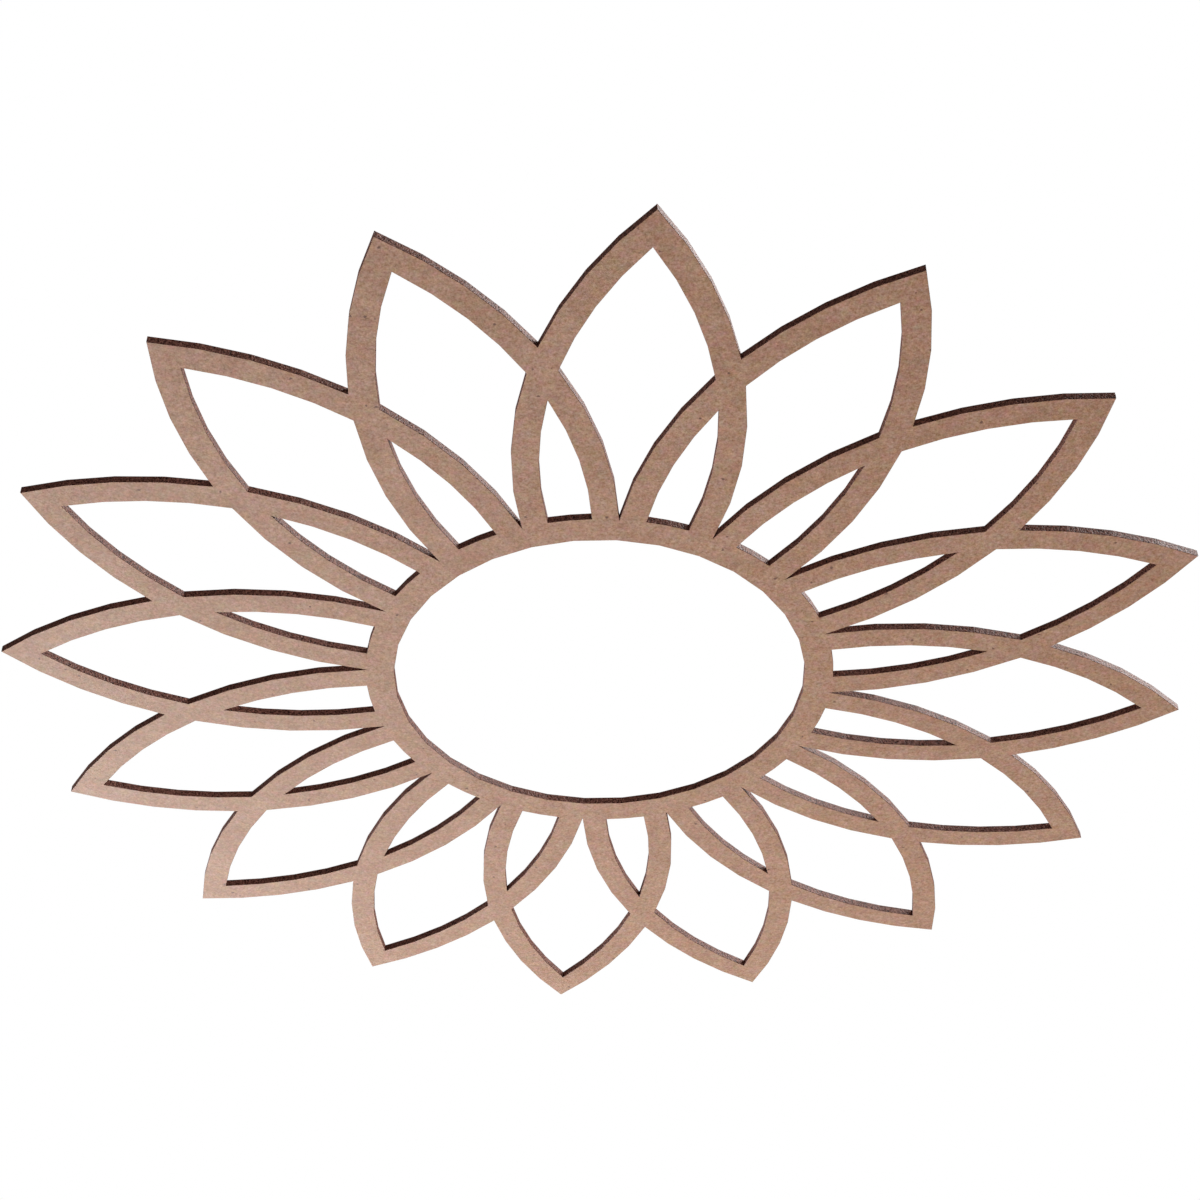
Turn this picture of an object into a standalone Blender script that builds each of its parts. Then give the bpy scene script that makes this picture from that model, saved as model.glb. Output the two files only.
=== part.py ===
"""A pierced ceiling medallion cut from one flat board: sixteen overlapping petals round a ring.

The back of the board lies in the plane z = 0, against the ceiling, and its face looks down. The
origin is the centre of the pattern on the back. One petal points along +X and the others follow
at equal angles. Every curved edge is cut as a few short straight chords.
"""

import math

import bmesh
import bpy
from mathutils import Matrix, Vector

# Driving dimensions, in metres
OUTSIDE_DIAMETER = 0.9652  # across two opposite petal tips
BOARD_THICKNESS = 0.00635
PETAL_HALF_WIDTH = 0.0849  # from a petal's centre line to its outer edge, at the widest place
TIP_TO_WIDEST = 0.2189  # along the centre line, from the tip to the widest place
BAR_WIDTH = 0.0205  # of the bars that outline each petal
HOLE_DIAMETER = 0.3353  # across two opposite corners of the centre hole
RING_WIDTH = 0.0230  # from the centre hole out to the feet of the bars

# Counts
PETALS = 16
CHORDS_PER_CURVE = 4  # straight cuts from one corner of the outline to the next

# The board's bare face
FACE_COLOUR = (0.380, 0.235, 0.172, 1.0)
FACE_ROUGHNESS = 0.62

HALF_STEP = math.pi / PETALS  # angle between a petal's centre line and the notch beside it
JOIN_DISTANCE = 1e-5


def clear_scene():
    """Remove every object that is already in the scene."""
    for obj in list(bpy.data.objects):
        bpy.data.objects.remove(obj)


def board_material():
    """The raw fibreboard of the whole medallion."""
    material = bpy.data.materials.new("fibreboard")
    material.use_nodes = True
    shader = material.node_tree.nodes["Principled BSDF"]
    shader.inputs["Base Color"].default_value = FACE_COLOUR
    shader.inputs["Roughness"].default_value = FACE_ROUGHNESS
    shader.inputs["Metallic"].default_value = 0.0
    return material


def polar(radius, angle):
    """A point in the board's plane."""
    return Vector((radius * math.cos(angle), radius * math.sin(angle)))


def ray_meets_circle(angle, centre, radius):
    """The farther point where a ray from the origin crosses a circle."""
    direction = polar(1.0, angle)
    along = direction.dot(centre)
    return direction * (along + math.sqrt(along**2 - centre.length_squared + radius**2))


def circles_meet(centre_a, radius_a, centre_b, radius_b):
    """The two points where two circles cross."""
    between = centre_b - centre_a
    along = (radius_a**2 - radius_b**2 + between.length_squared) / (2 * between.length)
    aside = math.sqrt(radius_a**2 - along**2)
    unit = between.normalized()
    foot = centre_a + unit * along
    return [foot + unit.orthogonal() * side * aside for side in (1, -1)]


def chords(centre, start, end):
    """Points from start to end along the arc round a centre, with straight chords between them."""
    radius = (start - centre).length
    first = math.atan2(start.y - centre.y, start.x - centre.x)
    last = math.atan2(end.y - centre.y, end.x - centre.x)
    steps = range(CHORDS_PER_CURVE + 1)
    return [centre + polar(radius, first + (last - first) * i / CHORDS_PER_CURVE) for i in steps]


def across_notch_line(point):
    """The mirror image of a point in the line between a petal and its neighbour."""
    return polar(point.length, 2 * HALF_STEP - math.atan2(point.y, point.x))


def half_petal_outline():
    """The outline of the wood between the centre line of the petal on +X and the next notch line.

    One side of a petal is a bar between two arcs round one centre. It leaves the petal's tip,
    crosses the neighbour's bar on the notch line, and runs on to the ring on the neighbour's
    centre line. The part past the notch line is mirrored back, as the neighbour's own bar is.
    """
    tip = Vector((OUTSIDE_DIAMETER / 2, 0.0))
    outer_radius = (TIP_TO_WIDEST**2 + PETAL_HALF_WIDTH**2) / (2 * PETAL_HALF_WIDTH)
    inner_radius = outer_radius - BAR_WIDTH
    centre = Vector((tip.x - TIP_TO_WIDEST, PETAL_HALF_WIDTH - outer_radius))
    neighbour_centre = across_notch_line(centre)

    # Corners of the bar from the tip to the notch line
    opening_tip = ray_meets_circle(0.0, centre, inner_radius)
    notch = ray_meets_circle(HALF_STEP, centre, outer_radius)
    small_tip = ray_meets_circle(HALF_STEP, centre, inner_radius)
    crossings = circles_meet(centre, inner_radius, neighbour_centre, outer_radius)
    opening_side = max(crossings, key=lambda point: point.length)

    # Corners where the bar ends on the ring, past the notch line
    hole_radius = HOLE_DIAMETER / 2
    ring_radius = hole_radius + RING_WIDTH
    opening_foot = ray_meets_circle(2 * HALF_STEP, centre, outer_radius)
    ring_crossings = circles_meet(Vector((0.0, 0.0)), ring_radius, centre, inner_radius)
    small_foot = max(ring_crossings, key=lambda point: point.y)

    outside = chords(centre, tip, notch)
    beside_small_opening = chords(centre, small_tip, small_foot)
    beside_large_opening = chords(centre, across_notch_line(opening_side), opening_foot)
    petal_inside = chords(centre, opening_tip, opening_side)

    return (
        outside
        + [across_notch_line(point) for point in beside_small_opening]
        + [polar(ring_radius, HALF_STEP), polar(hole_radius, HALF_STEP), polar(hole_radius, 0.0)]
        + [across_notch_line(point) for point in reversed(beside_large_opening[1:])]
        + list(reversed(petal_inside))
    )


def build_panel():
    """One half petal, mirrored and spun round the centre, then thickened to the board."""
    bm = bmesh.new()
    half = bm.faces.new([bm.verts.new((point.x, point.y, 0.0)) for point in half_petal_outline()])
    bmesh.ops.mirror(bm, geom=[half], matrix=Matrix.Identity(4), axis="Y", merge_dist=JOIN_DISTANCE)
    bmesh.ops.spin(
        bm,
        geom=bm.faces[:],
        cent=(0.0, 0.0, 0.0),
        axis=(0.0, 0.0, 1.0),
        angle=math.tau,
        steps=PETALS,
        use_duplicate=True,
    )
    bmesh.ops.remove_doubles(bm, verts=bm.verts[:], dist=JOIN_DISTANCE)

    grown = bmesh.ops.extrude_face_region(bm, geom=bm.faces[:])["geom"]
    face_side = [item for item in grown if isinstance(item, bmesh.types.BMVert)]
    bmesh.ops.translate(bm, verts=face_side, vec=(0.0, 0.0, -BOARD_THICKNESS))
    bmesh.ops.recalc_face_normals(bm, faces=bm.faces[:])

    mesh = bpy.data.meshes.new("medallion_panel")
    bm.to_mesh(mesh)
    bm.free()
    mesh.materials.append(board_material())
    panel = bpy.data.objects.new("medallion_panel", mesh)
    bpy.context.scene.collection.objects.link(panel)
    return panel


clear_scene()
build_panel()
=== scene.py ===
"""A pierced ceiling medallion of raw fibreboard with scorched cut edges, in a plain studio.

The board keeps the outline and the place of the built part. This script gives it eased arrises,
the torn fibres of its cut walls and the finish of each surface, and sets it in soft light.
Lengths are in metres unless a name says otherwise.
"""

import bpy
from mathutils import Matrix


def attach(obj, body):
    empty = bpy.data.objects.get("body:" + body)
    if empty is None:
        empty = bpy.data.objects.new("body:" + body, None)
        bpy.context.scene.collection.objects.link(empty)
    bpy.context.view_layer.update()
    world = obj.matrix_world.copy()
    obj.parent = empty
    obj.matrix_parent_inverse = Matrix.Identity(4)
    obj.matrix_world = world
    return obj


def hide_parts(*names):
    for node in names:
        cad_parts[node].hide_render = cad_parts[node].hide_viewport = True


bl_info = {
    "name": "Ceiling Medallion",
    "version": (1, 0, 0),
    "blender": (4, 5, 0),
    "location": "3D View > Sidebar > Medallion",
    "description": "Finishes a pierced fibreboard medallion and sets it in a plain studio",
    "category": "Object",
}

import math

import bmesh
import bpy
from bpy.props import FloatProperty, FloatVectorProperty, IntProperty, PointerProperty
from bpy.types import Operator, Panel, PropertyGroup
from mathutils import Euler, Vector, noise

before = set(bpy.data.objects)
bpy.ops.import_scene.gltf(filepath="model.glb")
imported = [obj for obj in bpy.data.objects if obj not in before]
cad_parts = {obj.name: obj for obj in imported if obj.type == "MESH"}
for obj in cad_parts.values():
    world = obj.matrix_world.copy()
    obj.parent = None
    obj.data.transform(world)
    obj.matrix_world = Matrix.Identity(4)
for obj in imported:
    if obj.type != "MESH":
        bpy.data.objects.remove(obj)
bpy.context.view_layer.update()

# The built part
CAD_NODE = "medallion_panel"

# Tolerances for reading the board's mesh
WELD_DISTANCE = 1e-5
LEVEL_DISTANCE = 1e-5
FLAT_ANGLE = math.radians(1.0)

# How far the normal of a face points up or down: less on a wall, more on the back and the face
WALL_LIMIT = 0.5
FLAT_LIMIT = 0.99

# Slots of the finished board, in the order its materials are added
FACE, BACK, CUT = range(3)

# Looks of the fibres. Scales are in marks per metre and contrasts in red, green and blue.
# Only the face has flecks, whose size is a share of the distance between them.
FACE_LOOK = {
    "Grain Scale": 420.0,
    "Grain Detail": 1.5,
    "Grain Contrast": (1.25, 1.62, 2.25),
    "Blotch Scale": 40.0,
    "Blotch Contrast": (0.5, 0.74, 1.0),
    "Tint Scale": 130.0,
    "Tint Contrast": (0.42, 0.45, 0.68),
    "Fleck Scale": 65.0,
    "Fleck Size": 0.046,
}
BACK_LOOK = {
    "Grain Scale": 420.0,
    "Grain Detail": 1.5,
    "Grain Contrast": (0.95, 1.2, 1.6),
    "Blotch Scale": 30.0,
    "Blotch Contrast": (0.5, 0.62, 0.8),
    "Tint Scale": 130.0,
    "Tint Contrast": (0.3, 0.3, 0.45),
}
CUT_LOOK = {
    "Grain Scale": 600.0,
    "Grain Detail": 1.0,
    "Grain Contrast": (4.4, 5.7, 6.1),
    "Blotch Scale": 60.0,
    "Blotch Contrast": (0.4, 0.4, 0.4),
    "Tint Scale": 300.0,
    "Tint Contrast": (0.3, 0.3, 0.3),
}

# Noise settings that all the looks share, and the middle value that a noise varies round
GRAIN_NOISE = {"Roughness": 1.0}
BLOTCH_NOISE = {"Detail": 3.0, "Roughness": 0.9}
TINT_NOISE = {"Detail": 2.0, "Roughness": 0.8}
NOISE_MIDDLE = 0.5

# Share of a fleck's size where it is fully dark
FLECK_CORE = 0.5

# Mean roughness of the surfaces, and how far their grain varies it
RAW_ROUGHNESS = 0.5
CUT_ROUGHNESS = 0.47
ROUGHNESS_SPREAD = 0.2

# How strongly the surfaces shine, as the shader's specular level
RAW_SHINE = 0.25
CUT_SHINE = 0.23

# How far the grain stands out of each surface
FACE_RELIEF = 0.00012
BACK_RELIEF = 0.00008
CUT_RELIEF = 0.0008

# Sockets of a Mix node that mixes colours, which share their names with its other sockets
MIX_COLOUR_A = 6
MIX_COLOUR_B = 7
MIX_COLOUR_RESULT = 2

# The camera, found by fitting the pattern's outline in the photograph
CAMERA_PLACE = Vector((-0.1086, -1.3603, -1.1413))
CAMERA_TURN = Euler((math.radians(131.895), math.radians(0.084), math.radians(-4.511)), "XYZ")
CAMERA_LENS_MM = 65.10
CAMERA_SENSOR_MM = 36.0

# The floor, and how much paler the camera sees it than the dim room lights it
FLOOR_SIDES = 96
FLOOR_ROUGHNESS = 0.8
FLOOR_LIFT = 0.6

BACKDROP_COLOUR = (1.0, 1.0, 1.0, 1.0)

# Softboxes: name, place, share of the lamp power, colour
SOFTBOXES = (
    ("right_high_softbox", Vector((2.16, -0.42, 1.72)), 0.83, (1.0, 0.97, 0.96)),
    ("right_far_softbox", Vector((2.16, 0.46, 1.72)), 0.21, (1.0, 1.0, 1.0)),
    ("left_low_softbox", Vector((-1.75, 2.16, -0.34)), 0.89, (0.97, 0.99, 1.0)),
    ("far_low_softbox", Vector((-0.48, 2.44, -1.55)), 0.16, (0.97, 1.0, 0.98)),
    ("far_left_softbox", Vector((-1.0, 2.44, -1.3)), 0.395, (0.88, 0.96, 1.0)),
    ("far_right_softbox", Vector((1.1, 2.3, -0.9)), 0.125, (1.0, 0.96, 0.89)),
)


class BoardSettings(PropertyGroup):
    """Sizes and colours of the finished board."""

    arris: FloatProperty(
        name="Arris",
        description="Width of the easing along every cut edge",
        default=0.00025,
        min=0.0001,
        max=0.001,
        precision=5,
        unit="LENGTH",
    )
    fray: FloatProperty(
        name="Fray",
        description="How far the fibres of the cut walls stand in or out",
        default=0.00014,
        min=0.0,
        max=0.0006,
        precision=5,
        unit="LENGTH",
    )
    fray_size: FloatProperty(
        name="Fray Size",
        description="Size of one tuft of fibres on the cut walls",
        default=0.0016,
        min=0.0005,
        precision=4,
        unit="LENGTH",
    )
    columns: IntProperty(
        name="Columns",
        description="Divisions along each straight cut that carry the frayed fibres",
        default=22,
        min=1,
        max=24,
    )
    rows: IntProperty(
        name="Rows",
        description="Divisions across the thickness of each cut wall",
        default=4,
        min=1,
        max=4,
    )
    face_colour: FloatVectorProperty(
        name="Face",
        description="Raw face of the board",
        subtype="COLOR",
        size=4,
        min=0.0,
        max=1.0,
        default=(0.376, 0.208, 0.135, 1.0),
    )
    back_colour: FloatVectorProperty(
        name="Back",
        description="Raw back of the board, a little paler than the face",
        subtype="COLOR",
        size=4,
        min=0.0,
        max=1.0,
        default=(0.39, 0.225, 0.155, 1.0),
    )
    fleck_colour: FloatVectorProperty(
        name="Flecks",
        description="Dark bark flecks in the face",
        subtype="COLOR",
        size=4,
        min=0.0,
        max=1.0,
        default=(0.15, 0.07, 0.046, 1.0),
    )
    cut_colour: FloatVectorProperty(
        name="Cut Walls",
        description="Scorched walls of the cuts",
        subtype="COLOR",
        size=4,
        min=0.0,
        max=1.0,
        default=(0.160, 0.0655, 0.048, 1.0),
    )


class StudioSettings(PropertyGroup):
    """The plain room the medallion is shown in."""

    floor_drop: FloatProperty(
        name="Floor Drop",
        description="Height of the medallion above the floor",
        default=3.0,
        min=2.7,
        unit="LENGTH",
    )
    floor_radius: FloatProperty(
        name="Floor Radius",
        description="Radius of the floor",
        default=60.0,
        min=4.0,
        unit="LENGTH",
    )
    floor_colour: FloatVectorProperty(
        name="Floor",
        description="Pale floor",
        subtype="COLOR",
        size=4,
        min=0.0,
        max=1.0,
        default=(0.82, 0.82, 0.81, 1.0),
    )
    lamp_power: FloatProperty(
        name="Lamp Power",
        description="Power that each softbox takes its share of",
        default=118.0,
        min=0.0,
        unit="POWER",
    )
    lamp_side: FloatProperty(
        name="Lamp Side",
        description="Side length of each softbox",
        default=1.8,
        min=0.1,
        unit="LENGTH",
    )
    room_light: FloatVectorProperty(
        name="Room Light",
        description="Dim even light that fills the room",
        subtype="COLOR",
        size=4,
        min=0.0,
        max=1.0,
        default=(0.170, 0.137, 0.125, 1.0),
    )


def add_object(name, data):
    """A new object in the scene."""
    item = bpy.data.objects.new(name, data)
    bpy.context.scene.collection.objects.link(item)
    return item


def finished_mesh(name, shape):
    """A new mesh from a bmesh, which is freed."""
    mesh = bpy.data.meshes.new(name)
    shape.to_mesh(mesh)
    shape.free()
    return mesh


def new_material(name):
    """A new material and its shader."""
    material = bpy.data.materials.new(name)
    material.use_nodes = True
    return material, material.node_tree.nodes["Principled BSDF"]


def add_node(tree, kind, values=None, **settings):
    """A new node of a tree with its settings, and the values of its inputs by their names."""
    node = tree.nodes.new(kind)
    for name, setting in settings.items():
        setattr(node, name, setting)
    for name, value in (values or {}).items():
        node.inputs[name].default_value = value
    return node


def centred_gain(group, mark, contrast):
    """A gain for each colour: one at a mark's middle value, and further off with more contrast."""
    below = add_node(group, "ShaderNodeVectorMath", operation="SUBTRACT")
    below.inputs[1].default_value = (NOISE_MIDDLE, NOISE_MIDDLE, NOISE_MIDDLE)
    scaled = add_node(group, "ShaderNodeVectorMath", operation="MULTIPLY")
    gain = add_node(group, "ShaderNodeVectorMath", operation="ADD")
    gain.inputs[1].default_value = (1.0, 1.0, 1.0)
    group.links.new(mark, below.inputs[0])
    group.links.new(below.outputs["Vector"], scaled.inputs[0])
    group.links.new(contrast, scaled.inputs[1])
    group.links.new(scaled.outputs["Vector"], gain.inputs[0])
    return gain.outputs["Vector"]


def fleck_mask(group, spots, grain, size):
    """One in the core of each fleck and zero outside it, with an edge that the grain frays."""
    core = add_node(group, "ShaderNodeMath", operation="MULTIPLY")
    core.inputs[1].default_value = FLECK_CORE
    ragged = add_node(group, "ShaderNodeMath", operation="MULTIPLY")
    mask = add_node(group, "ShaderNodeMapRange")
    group.links.new(size, core.inputs[0])
    group.links.new(spots, ragged.inputs[0])
    group.links.new(grain, ragged.inputs[1])
    group.links.new(ragged.outputs["Value"], mask.inputs["Value"])
    group.links.new(size, mask.inputs["From Min"])
    group.links.new(core.outputs["Value"], mask.inputs["From Max"])
    return mask.outputs["Result"]


def fibre_group():
    """Pressed wood fibres: a mottled and tinted colour, the grain as a height, flecks as a mask."""
    group = bpy.data.node_groups.get("board_fibres")
    if group:
        return group
    group = bpy.data.node_groups.new("board_fibres", "ShaderNodeTree")
    sockets = group.interface
    sockets.new_socket("Position", in_out="INPUT", socket_type="NodeSocketVector")
    sockets.new_socket("Base", in_out="INPUT", socket_type="NodeSocketColor")
    for name, value in FACE_LOOK.items():
        kind = "NodeSocketVector" if isinstance(value, tuple) else "NodeSocketFloat"
        sockets.new_socket(name, in_out="INPUT", socket_type=kind)
    sockets.new_socket("Color", in_out="OUTPUT", socket_type="NodeSocketColor")
    sockets.new_socket("Grain", in_out="OUTPUT", socket_type="NodeSocketFloat")
    sockets.new_socket("Fleck", in_out="OUTPUT", socket_type="NodeSocketFloat")
    enter = group.nodes.new("NodeGroupInput")
    leave = group.nodes.new("NodeGroupOutput")

    grain = add_node(group, "ShaderNodeTexNoise", GRAIN_NOISE)
    group.links.new(enter.outputs["Grain Detail"], grain.inputs["Detail"])
    blotch = add_node(group, "ShaderNodeTexNoise", BLOTCH_NOISE)
    tint = add_node(group, "ShaderNodeTexNoise", TINT_NOISE)
    spots = add_node(group, "ShaderNodeTexVoronoi")
    for texture, scale in (
        (grain, "Grain Scale"),
        (blotch, "Blotch Scale"),
        (tint, "Tint Scale"),
        (spots, "Fleck Scale"),
    ):
        group.links.new(enter.outputs["Position"], texture.inputs["Vector"])
        group.links.new(enter.outputs[scale], texture.inputs["Scale"])

    colour = enter.outputs["Base"]
    for mark, contrast in (
        (grain.outputs["Fac"], "Grain Contrast"),
        (blotch.outputs["Fac"], "Blotch Contrast"),
        (tint.outputs["Color"], "Tint Contrast"),
    ):
        marked = add_node(group, "ShaderNodeVectorMath", operation="MULTIPLY")
        group.links.new(colour, marked.inputs[0])
        group.links.new(centred_gain(group, mark, enter.outputs[contrast]), marked.inputs[1])
        colour = marked.outputs["Vector"]

    flecks = fleck_mask(
        group, spots.outputs["Distance"], grain.outputs["Fac"], enter.outputs["Fleck Size"]
    )
    group.links.new(colour, leave.inputs["Color"])
    group.links.new(grain.outputs["Fac"], leave.inputs["Grain"])
    group.links.new(flecks, leave.inputs["Fleck"])
    return group


def fibre_material(name, colour, look, roughness, shine, relief):
    """A board surface: its fibres colour it, and their grain is rougher where it stands out."""
    material, shader = new_material(name)
    shader.inputs["Specular IOR Level"].default_value = shine
    tree = material.node_tree
    position = add_node(tree, "ShaderNodeTexCoord")
    fibres = add_node(tree, "ShaderNodeGroup", {"Base": colour} | look, node_tree=fibre_group())
    bump = add_node(tree, "ShaderNodeBump", {"Distance": relief})
    rough = add_node(tree, "ShaderNodeMapRange")
    rough.inputs["To Min"].default_value = roughness - ROUGHNESS_SPREAD / 2
    rough.inputs["To Max"].default_value = roughness + ROUGHNESS_SPREAD / 2
    tree.links.new(position.outputs["Object"], fibres.inputs["Position"])
    tree.links.new(fibres.outputs["Color"], shader.inputs["Base Color"])
    tree.links.new(fibres.outputs["Grain"], rough.inputs["Value"])
    tree.links.new(rough.outputs["Result"], shader.inputs["Roughness"])
    tree.links.new(fibres.outputs["Grain"], bump.inputs["Height"])
    tree.links.new(bump.outputs["Normal"], shader.inputs["Normal"])
    return material


def add_flecks(material, colour):
    """Let the dark flecks of a board surface show."""
    tree = material.node_tree
    shader = tree.nodes["Principled BSDF"]
    fibres = next(node for node in tree.nodes if node.type == "GROUP")
    flecked = add_node(tree, "ShaderNodeMix", data_type="RGBA")
    flecked.inputs[MIX_COLOUR_B].default_value = colour
    tree.links.new(fibres.outputs["Fleck"], flecked.inputs["Factor"])
    tree.links.new(fibres.outputs["Color"], flecked.inputs[MIX_COLOUR_A])
    tree.links.new(flecked.outputs[MIX_COLOUR_RESULT], shader.inputs["Base Color"])


def board_materials(settings):
    """The materials of the board, in the order of its slots."""
    face = fibre_material(
        "raw_face", settings.face_colour, FACE_LOOK, RAW_ROUGHNESS, RAW_SHINE, FACE_RELIEF
    )
    back = fibre_material(
        "raw_back", settings.back_colour, BACK_LOOK, RAW_ROUGHNESS, RAW_SHINE, BACK_RELIEF
    )
    cut = fibre_material(
        "scorched_cut", settings.cut_colour, CUT_LOOK, CUT_ROUGHNESS, CUT_SHINE, CUT_RELIEF
    )
    add_flecks(face, settings.fleck_colour)
    return face, back, cut


def is_wall(face):
    """True for a face that stands upright, across the thickness of the board."""
    return abs(face.normal.z) < WALL_LIMIT


def is_flat(face):
    """True for a face that lies in the back or the face of the board."""
    return abs(face.normal.z) > FLAT_LIMIT


def is_level(edge):
    """True for an edge that stays at one height."""
    return abs(edge.verts[0].co.z - edge.verts[1].co.z) < LEVEL_DISTANCE


def is_arris(edge):
    """True for an edge between a wall and the back or the face."""
    first, second = edge.link_faces
    return is_wall(first) != is_wall(second)


def slot_of(face):
    """The material slot of a face, where the eased arrises belong to the cut walls."""
    if not is_flat(face):
        return CUT
    return FACE if face.normal.z < 0 else BACK


def board_copy():
    """The built board as a clean mesh: one flat back, one flat face and one wall for each cut."""
    board = bmesh.new()
    board.from_mesh(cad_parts[CAD_NODE].data)
    bmesh.ops.remove_doubles(board, verts=board.verts[:], dist=WELD_DISTANCE)
    bmesh.ops.dissolve_limit(
        board, angle_limit=FLAT_ANGLE, verts=board.verts[:], edges=board.edges[:]
    )
    return board


def ease_arrises(board, width):
    """Take the sharpness off every edge between a cut wall and the back or the face."""
    bmesh.ops.bevel(
        board,
        geom=[edge for edge in board.edges if is_arris(edge)],
        offset=width,
        offset_type="OFFSET",
        affect="EDGES",
        segments=1,
        profile=0.5,
        material=-1,
        clamp_overlap=True,
    )


def divide_walls(board, rows, columns):
    """Cut every wall into a fine grid, and leave the back and the face whole."""
    uprights = [
        edge for edge in board.edges if not is_level(edge) and all(map(is_wall, edge.link_faces))
    ]
    bmesh.ops.subdivide_edges(board, edges=uprights, cuts=rows - 1, use_grid_fill=True)
    along = [edge for edge in board.edges if is_level(edge) and any(map(is_wall, edge.link_faces))]
    bmesh.ops.subdivide_edges(
        board, edges=along, cuts=columns - 1, use_grid_fill=True, use_single_edge=True
    )


def fray_walls(board, depth, size):
    """Move the fibres of the walls in or out, and leave the arrises straight."""
    board.normal_update()
    for vert in board.verts:
        if all(map(is_wall, vert.link_faces)):
            vert.co += vert.normal * depth * noise.noise(vert.co / size)


class MEDALLION_OT_board(Operator):
    """Make the finished board that stands for the built one"""

    bl_idname = "medallion.board"
    bl_label = "Board"

    def execute(self, context):
        settings = context.scene.medallion_board
        board = board_copy()
        ease_arrises(board, settings.arris)
        divide_walls(board, settings.rows, settings.columns)
        fray_walls(board, settings.fray, settings.fray_size)
        board.normal_update()
        for face in board.faces:
            face.material_index = slot_of(face)

        piece = add_object("medallion_board", finished_mesh("medallion_board", board))
        for material in board_materials(settings):
            piece.data.materials.append(material)
        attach(piece, "root")
        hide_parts(CAD_NODE)
        return {"FINISHED"}


def add_floor(settings):
    """A pale floor, a room's height under the ceiling."""
    slab = bmesh.new()
    bmesh.ops.create_circle(slab, cap_ends=True, segments=FLOOR_SIDES, radius=settings.floor_radius)
    bmesh.ops.translate(slab, verts=slab.verts[:], vec=(0.0, 0.0, -settings.floor_drop))
    floor = add_object("floor", finished_mesh("floor", slab))

    material, shader = new_material("floor")
    shader.inputs["Base Color"].default_value = settings.floor_colour
    shader.inputs["Roughness"].default_value = FLOOR_ROUGHNESS
    shader.inputs["Emission Strength"].default_value = FLOOR_LIFT
    seen_by = add_node(material.node_tree, "ShaderNodeLightPath")
    material.node_tree.links.new(
        seen_by.outputs["Is Camera Ray"], shader.inputs["Emission Color"]
    )
    floor.data.materials.append(material)


def add_softbox(name, place, side, power, colour):
    """A square softbox that faces the medallion."""
    lamp = bpy.data.lights.new(name, "AREA")
    lamp.shape = "SQUARE"
    lamp.size = side
    lamp.energy = power
    lamp.color = colour
    box = add_object(name, lamp)
    box.location = place
    box.rotation_euler = (-place).to_track_quat("-Z", "Y").to_euler()
    box.visible_camera = False


def add_room_light(colour):
    """An even dim light from all round, behind a backdrop that the camera sees as white."""
    world = bpy.data.worlds.new("studio")
    world.use_nodes = True
    tree = world.node_tree
    tree.nodes.clear()
    output = add_node(tree, "ShaderNodeOutputWorld")
    backdrop = add_node(tree, "ShaderNodeBackground", {"Color": BACKDROP_COLOUR})
    fill = add_node(tree, "ShaderNodeBackground", {"Color": colour})
    seen_by = add_node(tree, "ShaderNodeLightPath")
    choose = add_node(tree, "ShaderNodeMixShader")
    by_camera, otherwise, for_camera = choose.inputs
    tree.links.new(seen_by.outputs["Is Camera Ray"], by_camera)
    tree.links.new(fill.outputs["Background"], otherwise)
    tree.links.new(backdrop.outputs["Background"], for_camera)
    tree.links.new(choose.outputs["Shader"], output.inputs["Surface"])
    bpy.context.scene.world = world


def add_camera():
    """The photograph's viewpoint, below the ceiling and in front, looking up."""
    lens = bpy.data.cameras.new("camera")
    lens.lens = CAMERA_LENS_MM
    lens.sensor_width = CAMERA_SENSOR_MM
    camera = add_object("camera", lens)
    camera.location = CAMERA_PLACE
    camera.rotation_euler = CAMERA_TURN
    bpy.context.scene.camera = camera


class MEDALLION_OT_stage(Operator):
    """Set up the floor, the softboxes, the room light and the camera"""

    bl_idname = "medallion.stage"
    bl_label = "Stage"

    def execute(self, context):
        settings = context.scene.medallion_studio
        add_floor(settings)
        for name, place, share, colour in SOFTBOXES:
            add_softbox(name, place, settings.lamp_side, settings.lamp_power * share, colour)
        add_room_light(settings.room_light)
        add_camera()
        context.scene.view_settings.view_transform = "Standard"
        return {"FINISHED"}


class MEDALLION_PT_sidebar(Panel):
    """Settings and steps of the medallion"""

    bl_label = "Ceiling Medallion"
    bl_idname = "MEDALLION_PT_sidebar"
    bl_space_type = "VIEW_3D"
    bl_region_type = "UI"
    bl_category = "Medallion"

    def draw(self, context):
        for settings, step in (
            (context.scene.medallion_board, MEDALLION_OT_board),
            (context.scene.medallion_studio, MEDALLION_OT_stage),
        ):
            box = self.layout.box()
            for name in settings.__annotations__:
                box.prop(settings, name)
            box.operator(step.bl_idname)


CLASSES = (
    BoardSettings,
    StudioSettings,
    MEDALLION_OT_board,
    MEDALLION_OT_stage,
    MEDALLION_PT_sidebar,
)


def register():
    """Add the settings, the steps and the panel."""
    for item in CLASSES:
        bpy.utils.register_class(item)
    bpy.types.Scene.medallion_board = PointerProperty(type=BoardSettings)
    bpy.types.Scene.medallion_studio = PointerProperty(type=StudioSettings)


def unregister():
    """Remove what register added."""
    del bpy.types.Scene.medallion_studio
    del bpy.types.Scene.medallion_board
    for item in reversed(CLASSES):
        bpy.utils.unregister_class(item)


def main():
    """Make the board, then the stage."""
    register()
    bpy.ops.medallion.board()
    bpy.ops.medallion.stage()


if __name__ == "__main__":
    main()
